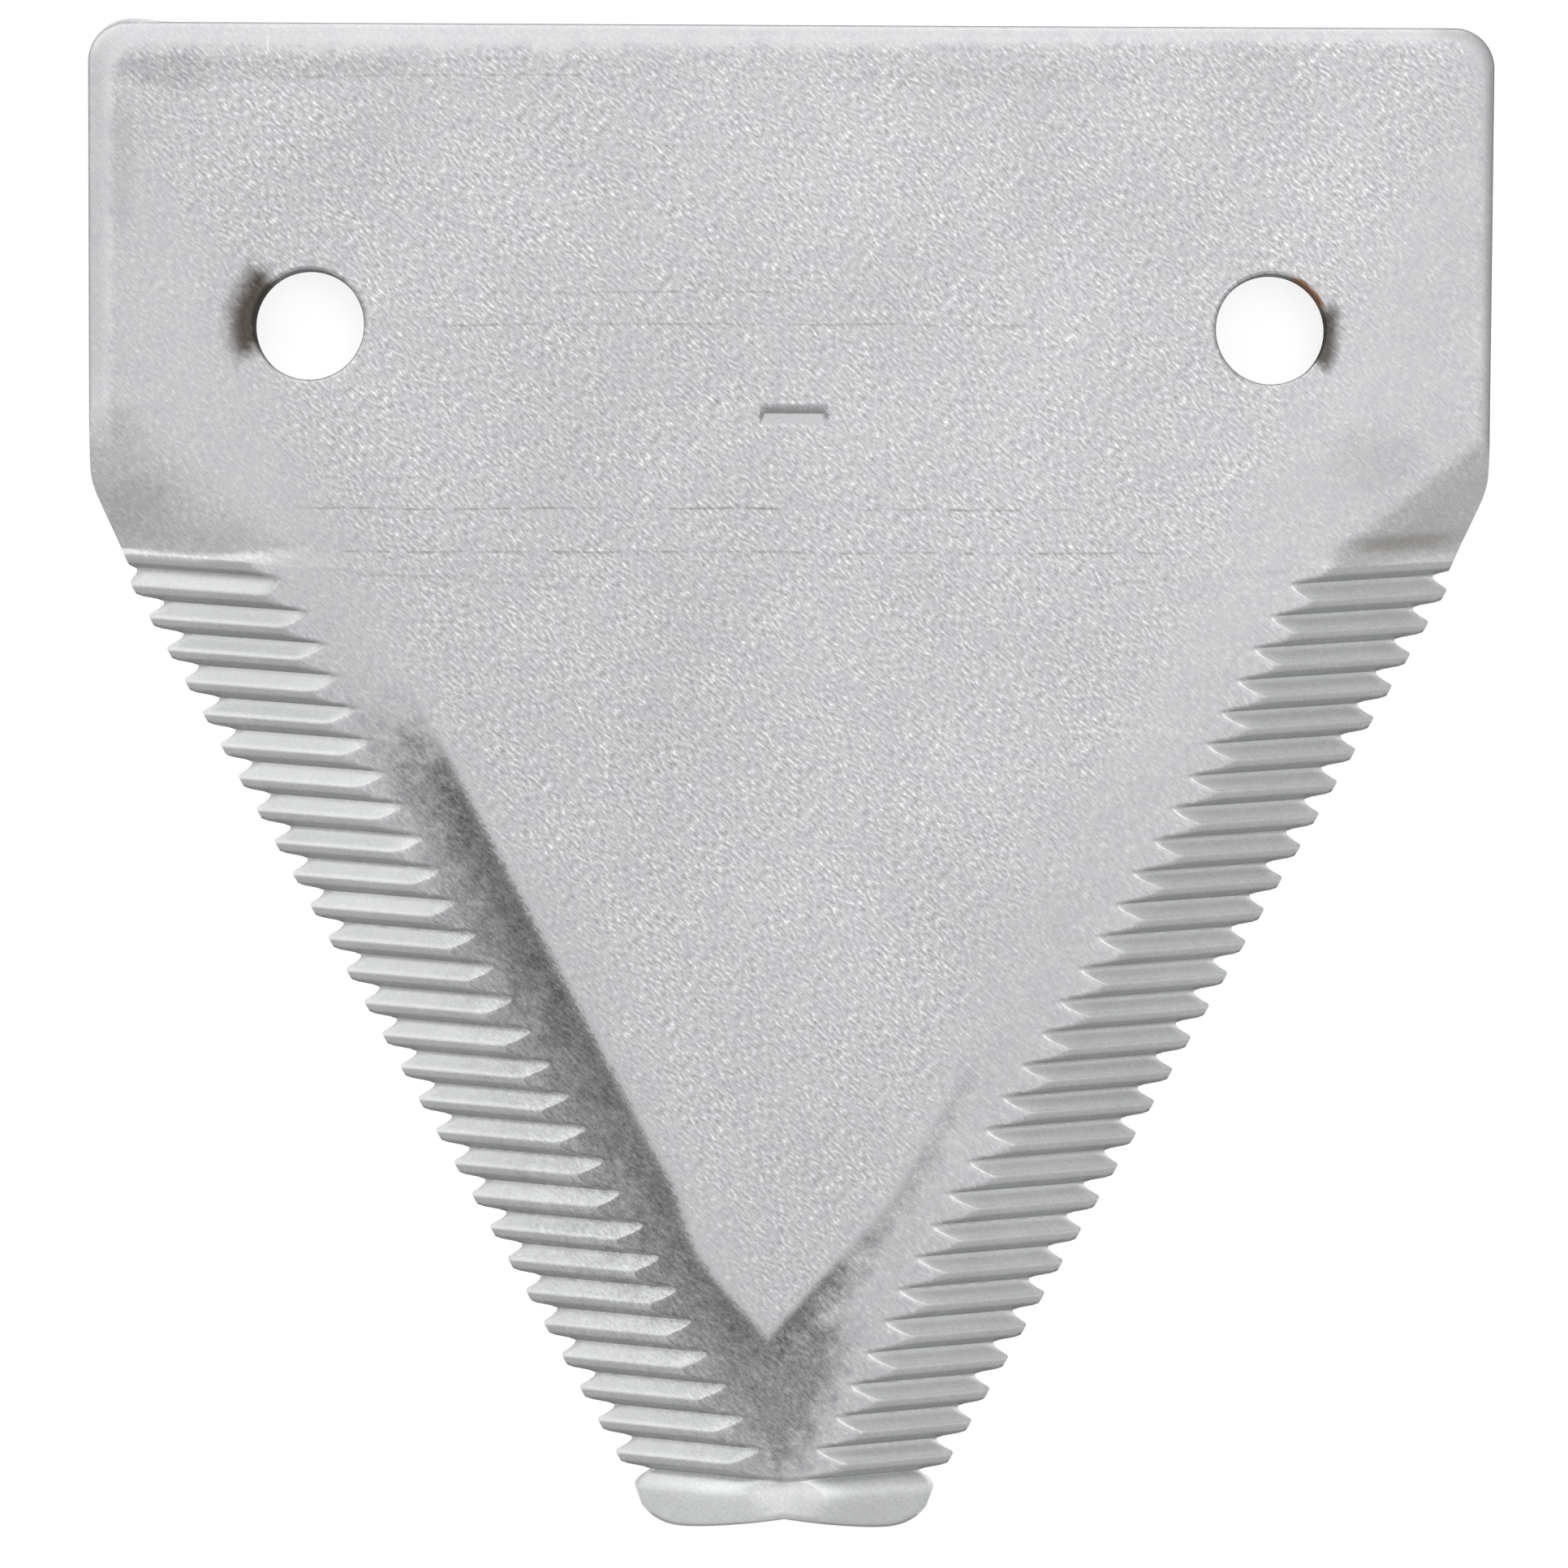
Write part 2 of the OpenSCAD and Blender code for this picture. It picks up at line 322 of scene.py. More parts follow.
class Field:
    """A number field of a node tree: arithmetic on it adds Math nodes to that tree."""

    def __init__(self, tree, socket):
        self.tree = tree
        self.socket = socket

    def __add__(self, other):
        return math_node(self.tree, "ADD", self, other)

    def __radd__(self, other):
        return math_node(self.tree, "ADD", other, self)

    def __sub__(self, other):
        return math_node(self.tree, "SUBTRACT", self, other)

    def __rsub__(self, other):
        return math_node(self.tree, "SUBTRACT", other, self)

    def __mul__(self, other):
        return math_node(self.tree, "MULTIPLY", self, other)

    def __rmul__(self, other):
        return math_node(self.tree, "MULTIPLY", other, self)

    def __truediv__(self, other):
        return math_node(self.tree, "DIVIDE", self, other)

    def __rtruediv__(self, other):
        return math_node(self.tree, "DIVIDE", other, self)

    def __pow__(self, other):
        return math_node(self.tree, "POWER", self, other)

    def __neg__(self):
        return math_node(self.tree, "MULTIPLY", self, -1.0)

    def __gt__(self, other):
        return math_node(self.tree, "GREATER_THAN", self, other)

    def __lt__(self, other):
        return math_node(self.tree, "LESS_THAN", self, other)


def add_node(tree, kind, **settings):
    """A new node, laid out in a column after the ones before it."""
    node = tree.nodes.new(kind)
    place = len(tree.nodes)
    node.location = (200 * (place // 12), -180 * (place % 12))
    for name, value in settings.items():
        setattr(node, name, value)
    return node


def feed(tree, slot, value):
    """Links a field or a socket to a node's slot, or sets the slot to a plain value."""
    if isinstance(value, Field):
        tree.links.new(value.socket, slot)
    elif isinstance(value, bpy.types.NodeSocket):
        tree.links.new(value, slot)
    else:
        slot.default_value = value


def math_node(tree, operation, *values):
    """One Math node on fields and plain numbers."""
    node = add_node(tree, "ShaderNodeMath", operation=operation)
    for slot, value in zip(node.inputs, values):
        feed(tree, slot, value)
    return Field(tree, node.outputs[0])


def math_function(operation):
    """A function that applies one Math node to a field and to further fields or numbers."""
    return lambda field, *others: math_node(field.tree, operation, field, *others)


low = math_function("MINIMUM")
high = math_function("MAXIMUM")
soft_low = math_function("SMOOTH_MIN")
soft_high = math_function("SMOOTH_MAX")
sine = math_function("SINE")
cosine = math_function("COSINE")
tangent = math_function("TANGENT")
size_of = math_function("ABSOLUTE")
sign_of = math_function("SIGN")
fraction = math_function("FRACT")
whole = math_function("FLOOR")
root = math_function("SQRT")


def blend(a, b, weight):
    """Goes from a to b as the weight goes from 0 to 1."""
    return weight * (b - a) + a


def climb(a, start, end, **settings):
    """Climbs from 0 at start to 1 at end, and stays there."""
    node = add_node(a.tree, "ShaderNodeMapRange", **settings)
    for slot, value in zip(node.inputs, (a, start, end, 0.0, 1.0)):
        feed(a.tree, slot, value)
    return Field(a.tree, node.outputs[0])


def ramp(a, start, end):
    """Climbs in a straight line from 0 at start to 1 at end."""
    return climb(a, start, end, clamp=True)


def smooth(a, start, end):
    """Climbs in a soft curve from 0 at start to 1 at end."""
    return climb(a, start, end, interpolation_type="SMOOTHSTEP")


def point(tree, x, y, z):
    """A vector socket made of three fields or numbers."""
    node = add_node(tree, "ShaderNodeCombineXYZ")
    for slot, value in zip(node.inputs, (x, y, z)):
        feed(tree, slot, value)
    return node.outputs[0]


def parts_of(tree, vector):
    """The three fields of a vector socket."""
    node = add_node(tree, "ShaderNodeSeparateXYZ")
    tree.links.new(vector, node.inputs[0])
    return [Field(tree, output) for output in node.outputs]


def plate_lines(size):
    """Slopes and lines that the plate's faces share."""
    line = SimpleNamespace()
    line.edge_slope = (size.edge_width - size.tip_width) / 2.0 / (size.tip_corner - size.first_groove)
    line.lean_slope = tangent(size.groove_lean)
    line.pitch = (size.last_groove - size.first_groove) / (size.groove_count - 1.0)
    edge_cosine = 1.0 / root(line.edge_slope * line.edge_slope + 1.0)
    edge_sine = line.edge_slope * edge_cosine
    line.rise = tangent(size.bevel_angle) * (edge_cosine - edge_sine * line.lean_slope)
    line.half_edge = size.edge_width / 2.0
    line.half_shoulder = size.shoulder_width / 2.0
    heel_length = size.back_reach + size.shoulder_reach
    line.side_slope = (size.heel_width - size.shoulder_width) / 2.0 / heel_length
    bevel_run = (size.thickness - size.edge_land) / tangent(size.bevel_angle) / edge_cosine
    line.runout_x = line.half_edge - bevel_run
    across = line.half_shoulder - line.runout_x
    along = size.first_groove + size.runout_lead - size.shoulder_reach
    length = root(across * across + along * along)
    line.runout_sine = along / length
    line.runout_cosine = across / length
    line.runout_slope = tangent(size.runout_angle)
    return line


def groove_depth(size, place, side):
    """Depth of the grooves below the crests at a place counted in pitches from the first groove."""
    tree = size.tree
    part = fraction(place)
    scoop = 1.0 - (part / size.long_flank) ** size.scoop
    wall = high(part - size.long_flank, 0.0) / (size.wall_foot - size.long_flank)
    flanks = soft_low(soft_high(scoop, wall ** WALL_POWER, CREST_ROUNDING), 1.0, GULLET_ROUNDING)
    last = size.groove_count - 1.0
    tail = high(1.0 - (place - last) / TAIL_LENGTH, 0.0) ** TAIL_POWER
    flanks = blend(flanks, tail, place > last)
    dice = add_node(tree, "ShaderNodeTexWhiteNoise", noise_dimensions="2D")
    tooth = whole(place + 1.0 - size.long_flank)
    tree.links.new(point(tree, tooth, side, 0.0), dice.inputs["Vector"])
    play = (Field(tree, dice.outputs["Value"]) - 0.5) * size.groove_play + 1.0
    first = blend(blend(FIRST_LEFT_DEPTH, 1.0, side > 0.0), 1.0, smooth(place, 0.3, 0.9))
    return flanks * size.groove_depth * play * first * (place > size.long_flank - 1.0)


def crease_reach(size, y, lean=0.0):
    """Distance of the relief creases from their middle at the height y of the centre line."""
    slope = tangent(size.crease_angle)
    turn = tangent(size.crease_turn)
    straight = (y + size.crease_reach) * slope / (1.0 - slope * lean)
    return soft_low(straight, (y + size.crease_end) * turn / (1.0 - turn * lean), CREASE_BLEND * MM)


def tip_end(size, x):
    """Where the tip ends, at a distance from the centre line: two lobes with a shallow dip between."""
    half_spacing = size.lobe_spacing / 2.0
    dip = high(1.0 - x / half_spacing, 0.0) ** 1.5 * size.tip_dip
    corner = low(high((x - half_spacing) / (size.lobe_width / 2.0 - half_spacing), 0.0), 1.0)
    return dip + corner ** 3.0 * size.lobe_rise - size.tip_reach


def plate_height(size, line, x, y, side):
    """Height of the upper face, and masks of its spots: cut groove, groove ends and first left crest for
    painted highlights, run-out.
    """
    lean = line.lean_slope
    edge_y = y + (line.half_edge + size.first_groove * line.edge_slope - x) * lean
    edge_y = edge_y / (1.0 - line.edge_slope * lean)
    place = -(edge_y + size.first_groove) / line.pitch
    edge_x = line.half_edge + (edge_y + size.first_groove) * line.edge_slope
    crest = size.edge_land + (edge_x - soft_high(x, -x, CENTRE_BLEND * MM)) * line.rise
    toothed = place > size.long_flank - 1.0
    before = size.long_flank - 1.0 - place
    comb = crest - groove_depth(size, place, side)
    comb = comb - smooth(before, 0.0, blend(1.0, 0.6, side > 0.0)) * size.thickness

    across = x * side + size.crease_shift * smooth(y, SHIFT_START * MM, SHIFT_FULL * MM)
    past_crease = soft_high(across, -across, RELIEF_CENTRE_BLEND * MM) - crease_reach(size, y)
    fall = cosine(size.crease_angle) * tangent(size.relief_angle)
    fall = fall * smooth(y, RELIEF_START * MM, RELIEF_FULL * MM)
    relief = soft_low(size.thickness - past_crease * fall, size.thickness, RELIEF_BLEND * MM)

    past_runout = (x - line.runout_x) * line.runout_sine - (y + size.first_groove) * line.runout_cosine
    dip = smooth(1.0 - size_of(place + 1.0) / 0.5, 0.0, 1.0) * blend(0.35, 1.0, side > 0.0)
    runout = size.thickness - past_runout * line.runout_slope - dip * size.lead_groove
    runout_blend = blend(LEFT_RUNOUT_BLEND * MM, RIGHT_RUNOUT_BLEND * MM, side > 0.0)
    runout = soft_low(runout, size.thickness, runout_blend)
    runout_fall = high(size.thickness - runout, 0.0) / (RUNOUT_FADE * MM)
    runout_face = ramp(root(runout_fall), 0.0, 1.0) * (1.0 - toothed)
    past_lead = smooth(place, size.long_flank - LEAD_CREST_START, size.long_flank - LEAD_CREST_END)
    runout = runout - past_lead * size.thickness

    side_x = line.half_shoulder + (y + size.shoulder_reach) * line.side_slope
    inset_x = x - side_x + size.back_corner
    inset_y = y - size.back_reach + size.back_corner
    outer_x = high(inset_x, 0.0)
    outer_y = high(inset_y, 0.0)
    beyond = root(outer_x * outer_x + outer_y * outer_y) + low(high(inset_x, inset_y), 0.0)
    depth_in = high(1.0 - (size.back_corner - beyond) / size.roll_width, 0.0)
    roll = 1.0 - root(high(1.0 - depth_in * depth_in, 0.0))
    heel = size.thickness - roll * size.roll_depth

    on_lobes = smooth(y, LOBES_START * MM, LOBES_FULL * MM)
    softness = blend(GROOVE_BLEND * MM, LOBE_BLEND * MM, on_lobes)
    cut = soft_low(relief, comb, softness)
    face = low(low(heel, soft_high(runout, cut, LEAD_BLEND * MM)), size.thickness)
    near_end = high(1.0 - (y - tip_end(size, x)) / size.tip_roll, 0.0)
    face = face - near_end * near_end * size.tip_roll * 0.5
    part = fraction(place)
    # Where along each pitch the painted highlight at the groove ends may show
    on_flank = smooth(part, 0.02, 0.1) * (1.0 - smooth(part, 0.4, 0.58)) * toothed
    on_flank = on_flank * (place < size.groove_count - 1.0)
    # Mask of the painted highlight along the first crest of the left side
    lead_crest_highlight = 1.0 - smooth(size_of(place - size.long_flank + LEAD_CREST_START), 0.03, 0.18)
    lead_crest_highlight = lead_crest_highlight * (side < 0.0)
    lead_crest_highlight = lead_crest_highlight * smooth(x, LEAD_CREST_INNER * MM, LEAD_CREST_OUTER * MM)
    gap = blend(-1.0, low(high((relief - comb) / MM, -1.0), 1.0), toothed)
    marks = (
        ("groove_gap", gap),
        ("flank", on_flank),
        ("runout", runout_face),
        ("lead_crest_highlight", lead_crest_highlight),
    )
    return high(face, LEAST_HEIGHT * MM), marks


def plate_plan(size, line, row, column):
    """Where each crossing of a row and a column lies, seen from above."""
    first_side = CORNER_ROWS
    first_runout = first_side + SIDE_ROWS
    first_serrated = first_runout + RUNOUT_ROWS
    groove_rows = LEAD_IN_ROWS + (size.groove_total - 1) * ROWS_PER_GROOVE + LOBE_START_ROWS
    first_tip = first_serrated + groove_rows
    runout_start = RUNOUT_ROWS_START * MM

    corner = ramp(row, 0.0, first_side) * math.pi / 2
    in_runout = ramp(row, first_runout, first_serrated)
    in_tip = ramp(row, first_tip, first_tip + TIP_ROWS)
    serrated_start = size.first_groove - line.pitch * (LEAD_IN_ROWS / ROWS_PER_GROOVE)
    edge_y = size.back_reach - size.back_corner * (1.0 - cosine(corner))
    along_side = ramp(row, first_side, first_runout)
    edge_y = edge_y - (size.back_reach - size.back_corner + runout_start) * along_side
    edge_y = edge_y - (serrated_start - runout_start) * in_runout
    edge_y = edge_y - line.pitch * (groove_rows / ROWS_PER_GROOVE) * ramp(row, first_serrated, first_tip)
    edge_x = line.half_edge + (edge_y + size.first_groove) * line.edge_slope
    lean = line.lean_slope * in_runout

    outer_y = edge_y - (edge_x - line.half_shoulder) * lean
    side_x = line.half_shoulder + (outer_y + size.shoulder_reach) * line.side_slope
    side_x = side_x - size.back_corner * (1.0 - sine(corner))
    flat_x = line.half_shoulder + (outer_y + size.shoulder_reach) * tangent(size.shoulder_angle)
    blank_x = soft_low(side_x, flat_x, size.shoulder_blend)
    toothed = row > first_serrated + LEAD_IN_ROWS + ROWS_PER_GROOVE // 4
    blank_x = blend(blank_x, edge_x, toothed)

    place = -(edge_y + size.first_groove) / line.pitch
    depth = groove_depth(size, place, size.side)
    comb_x = edge_x - soft_high(depth - size.edge_land, 0.0, LAND_BLEND * MM) / line.rise
    runout_fall = size.thickness / line.runout_slope + (outer_y + size.first_groove) * line.runout_cosine
    runout_x = line.runout_x + runout_fall / line.runout_sine
    past_lead = smooth(place, size.long_flank - LEAD_CREST_START, size.long_flank - LEAD_CREST_END)
    runout_x = runout_x - past_lead * size.edge_width
    outer_x = low(blank_x, high(comb_x, runout_x))

    centre_y = edge_y - edge_x * lean
    crease_x = crease_reach(size, centre_y, lean)
    inner_x = high(low(crease_x, outer_x * 0.8), 0.0)

    across = ramp(column, 0.0, BEVEL_COLUMNS)
    beyond = ramp(column, BEVEL_COLUMNS, BEVEL_COLUMNS + FLAT_COLUMNS)
    crowding = 1.8 - 0.8 * in_runout
    x = outer_x - (outer_x - inner_x) * across ** crowding - inner_x * beyond
    y = edge_y - (edge_x - x) * lean
    left_corner = smooth(x * size.side, CORNER_RISE_START * MM, CORNER_RISE_FULL * MM)
    left_corner = left_corner * (1.0 - ramp(row, 0.0, first_side))
    y = y + left_corner * size.corner_rise

    end_x = size.lobe_width / 2.0 * (1.0 - across)
    return blend(x, end_x, in_tip), blend(y, tip_end(size, end_x), in_tip)


def close_plate(tree, face):
    """Walls down from the rim of the upper face, and the flat underside."""
    neighbours = add_node(tree, "GeometryNodeInputMeshEdgeNeighbors")
    rim = add_node(tree, "FunctionNodeCompare", data_type="INT", operation="EQUAL")
    tree.links.new(neighbours.outputs[0], rim.inputs[2])
    rim.inputs[3].default_value = 1
    walls = add_node(tree, "GeometryNodeExtrudeMesh", mode="EDGES")
    tree.links.new(face, walls.inputs["Mesh"])
    tree.links.new(rim.outputs[0], walls.inputs["Selection"])
    walls.inputs["Offset Scale"].default_value = 0.0
    place = add_node(tree, "GeometryNodeInputPosition")
    x, y = parts_of(tree, place.outputs[0])[:2]
    lower = add_node(tree, "GeometryNodeSetPosition")
    tree.links.new(walls.outputs["Mesh"], lower.inputs["Geometry"])
    tree.links.new(walls.outputs["Top"], lower.inputs["Selection"])
    tree.links.new(point(tree, x, y, 0.0), lower.inputs["Position"])
    foot = add_node(tree, "GeometryNodeMeshToCurve")
    tree.links.new(lower.outputs[0], foot.inputs["Mesh"])
    tree.links.new(walls.outputs["Top"], foot.inputs["Selection"])
    under = add_node(tree, "GeometryNodeFillCurve", mode="NGONS")
    tree.links.new(foot.outputs[0], under.inputs["Curve"])
    turned = add_node(tree, "GeometryNodeFlipFaces")
    tree.links.new(under.outputs[0], turned.inputs["Mesh"])
    joined = add_node(tree, "GeometryNodeJoinGeometry")
    tree.links.new(turned.outputs[0], joined.inputs[0])
    tree.links.new(lower.outputs[0], joined.inputs[0])
    return joined.outputs[0]


def hole_cutter(tree, size):
    """A round cutter whose wall flares to the rounded upper rim of a bolt hole."""
    length = 5.0 * MM
    pillar = add_node(tree, "GeometryNodeMeshCylinder", fill_type="NGON")
    pillar.inputs["Vertices"].default_value = HOLE_SEGMENTS
    pillar.inputs["Side Segments"].default_value = HOLE_RINGS
    pillar.inputs["Radius"].default_value = 1.0
    pillar.inputs["Depth"].default_value = length
    place = add_node(tree, "GeometryNodeInputPosition")
    x, y, z = parts_of(tree, place.outputs[0])
    below = 1.0 * MM
    height = z + length / 2 - below
    up_rim = high(1.0 - (size.thickness - height) / size.hole_roll, 0.0)
    flare = 1.0 - root(high(1.0 - up_rim * up_rim, 0.0))
    radius = size.hole_radius + flare * size.hole_roll
    flared = add_node(tree, "GeometryNodeSetPosition")
    tree.links.new(pillar.outputs["Mesh"], flared.inputs["Geometry"])
    tree.links.new(point(tree, x * radius, y * radius, height), flared.inputs["Position"])
    return flared.outputs[0]


def shifted(tree, geometry, x):
    """The geometry, shifted across the plate."""
    node = add_node(tree, "GeometryNodeTransform")
    tree.links.new(geometry, node.inputs["Geometry"])
    tree.links.new(point(tree, x, 0.0, 0.0), node.inputs["Translation"])
    return node.outputs[0]


def mark_cutter(tree, size):
    """A block whose underside bulges down to the stamped dash, steep above and gentle below."""
    above = 1.0 * MM
    overlap = 0.2 * MM
    end_slope = 0.3 * MM
    end_rounding = 0.3
    clearance = 0.02
    block = add_node(tree, "GeometryNodeMeshCube")
    block.inputs["Size"].default_value = (2.0, 2.0, 2.0)
    block.inputs["Vertices X"].default_value = MARK_COLUMNS
    block.inputs["Vertices Y"].default_value = MARK_ROWS
    place = add_node(tree, "GeometryNodeInputPosition")
    x, y, z = parts_of(tree, place.outputs[0])
    half = size.mark_length / 2.0
    across = x * (half + overlap)
    along = y * size.mark_width
    upper = high(1.0 - along / size.mark_steep, 0.0) ** 1.7
    lower = 1.0 + along / (size.mark_width - size.mark_steep)
    ends = (half - size_of(across)) / end_slope
    share_in = soft_low(low(upper, lower), ends, end_rounding) - clearance
    under = size.thickness - share_in * size.mark_depth
    height = blend(under, size.thickness + above, z > 0.0)
    shaped = add_node(tree, "GeometryNodeSetPosition")
    tree.links.new(block.outputs["Mesh"], shaped.inputs["Geometry"])
    spot = point(tree, across + size.mark_offset, along - size.mark_reach, height)
    tree.links.new(spot, shaped.inputs["Position"])
    return shaped.outputs[0]


def cut_out(tree, body, cutters):
    """The body with the cutters taken out of it."""
    cut = add_node(tree, "GeometryNodeMeshBoolean", operation="DIFFERENCE", solver="MANIFOLD")
    tree.links.new(body, cut.inputs["Mesh 1"])
    for cutter in cutters:
        tree.links.new(cutter, cut.inputs["Mesh 2"])
    return cut.outputs["Mesh"]


def shade_plate(tree, body, size):
    """Smooth shading on the rounded faces, plain shading on the flat ones and sharp corners."""
    place = add_node(tree, "GeometryNodeInputPosition")
    z = parts_of(tree, place.outputs[0])[2]
    uneven = (z < size.thickness - FLAT_TOLERANCE * MM) * (z > FLAT_TOLERANCE * MM)
    faces = add_node(tree, "GeometryNodeSetShadeSmooth", domain="FACE")
    tree.links.new(body, faces.inputs[0])
    tree.links.new(uneven.socket, faces.inputs["Shade Smooth"])
    bend = add_node(tree, "GeometryNodeInputMeshEdgeAngle")
    soft = Field(tree, bend.outputs["Unsigned Angle"]) < SOFT_ANGLE
    edges = add_node(tree, "GeometryNodeSetShadeSmooth", domain="EDGE")
    tree.links.new(faces.outputs[0], edges.inputs[0])
    tree.links.new(soft.socket, edges.inputs["Shade Smooth"])
    return edges.outputs[0]


def plate_tree(sizes, material):
    """The node tree that makes the whole plate, with its sizes as named inputs."""
    tree = bpy.data.node_groups.new("Sickle section plate", "GeometryNodeTree")
    tree.interface.new_socket("Geometry", in_out="OUTPUT", socket_type="NodeSocketGeometry")
    kinds = {"FLOAT": "NodeSocketFloat", "INT": "NodeSocketInt"}
    numbers = [prop for prop in sizes.bl_rna.properties if prop.type in kinds]
    for prop in numbers:
        tree.interface.new_socket(prop.name, in_out="INPUT", socket_type=kinds[prop.type])
    entry = add_node(tree, "NodeGroupInput")
    size = SimpleNamespace(tree=tree, groove_total=sizes.groove_count)
    for prop in numbers:
        setattr(size, prop.identifier, Field(tree, entry.outputs[prop.name]))

    rows = CORNER_ROWS + SIDE_ROWS + RUNOUT_ROWS + LEAD_IN_ROWS + LOBE_START_ROWS + TIP_ROWS
    rows += (sizes.groove_count - 1) * ROWS_PER_GROOVE
    columns = 2 * (BEVEL_COLUMNS + FLAT_COLUMNS)
    sheet = add_node(tree, "GeometryNodeMeshGrid")
    sheet.inputs["Size X"].default_value = rows
    sheet.inputs["Size Y"].default_value = columns
    sheet.inputs["Vertices X"].default_value = rows + 1
    sheet.inputs["Vertices Y"].default_value = columns + 1
    place = add_node(tree, "GeometryNodeInputPosition")
    along, across = parts_of(tree, place.outputs[0])[:2]
    size.side = sign_of(across)
    row = along + rows / 2
    column = columns / 2 - size_of(across)

    line = plate_lines(size)
    x, y = plate_plan(size, line, row, column)
    laid = add_node(tree, "GeometryNodeSetPosition")
    tree.links.new(sheet.outputs["Mesh"], laid.inputs["Geometry"])
    tree.links.new(point(tree, x * size.side, y, 0.0), laid.inputs["Position"])

    spot = add_node(tree, "GeometryNodeInputPosition")
    plan_x, plan_y = parts_of(tree, spot.outputs[0])[:2]
    height, marks = plate_height(size, line, size_of(plan_x), plan_y, sign_of(plan_x))
    kept = laid.outputs[0]
    for name, value in marks:
        store = add_node(tree, "GeometryNodeStoreNamedAttribute", data_type="FLOAT", domain="POINT")
        store.inputs["Name"].default_value = name
        tree.links.new(kept, store.inputs["Geometry"])
        tree.links.new(value.socket, store.inputs["Value"])
        kept = store.outputs[0]
    raised = add_node(tree, "GeometryNodeSetPosition")
    tree.links.new(kept, raised.inputs["Geometry"])
    tree.links.new(point(tree, plan_x, plan_y, height), raised.inputs["Position"])

    closed = close_plate(tree, raised.outputs[0])
    welded = add_node(tree, "GeometryNodeMergeByDistance")
    tree.links.new(closed, welded.inputs["Geometry"])
    welded.inputs["Distance"].default_value = WELD_DISTANCE * MM
    hole = hole_cutter(tree, size)
    cutters = [shifted(tree, hole, size.hole_spacing * half) for half in (-0.5, 0.5)]
    cutters.append(mark_cutter(tree, size))
    body = cut_out(tree, welded.outputs[0], cutters)
    shaded = shade_plate(tree, body, size)

    realized = add_node(tree, "GeometryNodeRealizeInstances")
    tree.links.new(shaded, realized.inputs[0])
    dressed = add_node(tree, "GeometryNodeSetMaterial")
    tree.links.new(realized.outputs[0], dressed.inputs["Geometry"])
    dressed.inputs["Material"].default_value = material
    leave = add_node(tree, "NodeGroupOutput")
    tree.links.new(dressed.outputs[0], leave.inputs[0])
    return tree


def run_tree(name, tree, sizes):
    """A plain mesh object made by the tree with the given sizes."""
    piece = bpy.data.objects.new(name, bpy.data.meshes.new(name))
    bpy.context.scene.collection.objects.link(piece)
    modifier = piece.modifiers.new("plate", "NODES")
    modifier.node_group = tree
    values = {prop.name: getattr(sizes, prop.identifier) for prop in sizes.bl_rna.properties}
    for socket in tree.interface.items_tree:
        if socket.in_out == "INPUT":
            modifier[socket.identifier] = values[socket.name]
    shown = piece.evaluated_get(bpy.context.evaluated_depsgraph_get())
    mesh = bpy.data.meshes.new_from_object(shown)
    piece.modifiers.remove(modifier)
    piece.data = mesh
    mesh.name = name
    return piece


def noise(tree, vector, scale, detail=2.0, stretch=None, turn=0.0):
    """A noise field from 0 to 1; stretch and turn lay its grain in one direction."""
    if stretch:
        layout = add_node(tree, "ShaderNodeMapping", vector_type="TEXTURE")
        tree.links.new(vector, layout.inputs["Vector"])
        layout.inputs["Rotation"].default_value = (0.0, 0.0, turn)
        layout.inputs["Scale"].default_value = stretch
        vector = layout.outputs[0]
    node = add_node(tree, "ShaderNodeTexNoise")
    tree.links.new(vector, node.inputs["Vector"])
    node.inputs["Scale"].default_value = scale
    node.inputs["Detail"].default_value = detail
    return Field(tree, node.outputs["Fac"])


def mixed(tree, weight, a, b):
    """A colour that goes from a to b with the weight."""
    node = add_node(tree, "ShaderNodeMix", data_type="RGBA", clamp_factor=True)
    feed(tree, node.inputs[0], weight)
    for slot, value in ((node.inputs[6], a), (node.inputs[7], b)):
        feed(tree, slot, value if isinstance(value, bpy.types.NodeSocket) else (*value, 1.0))
    return node.outputs[2]


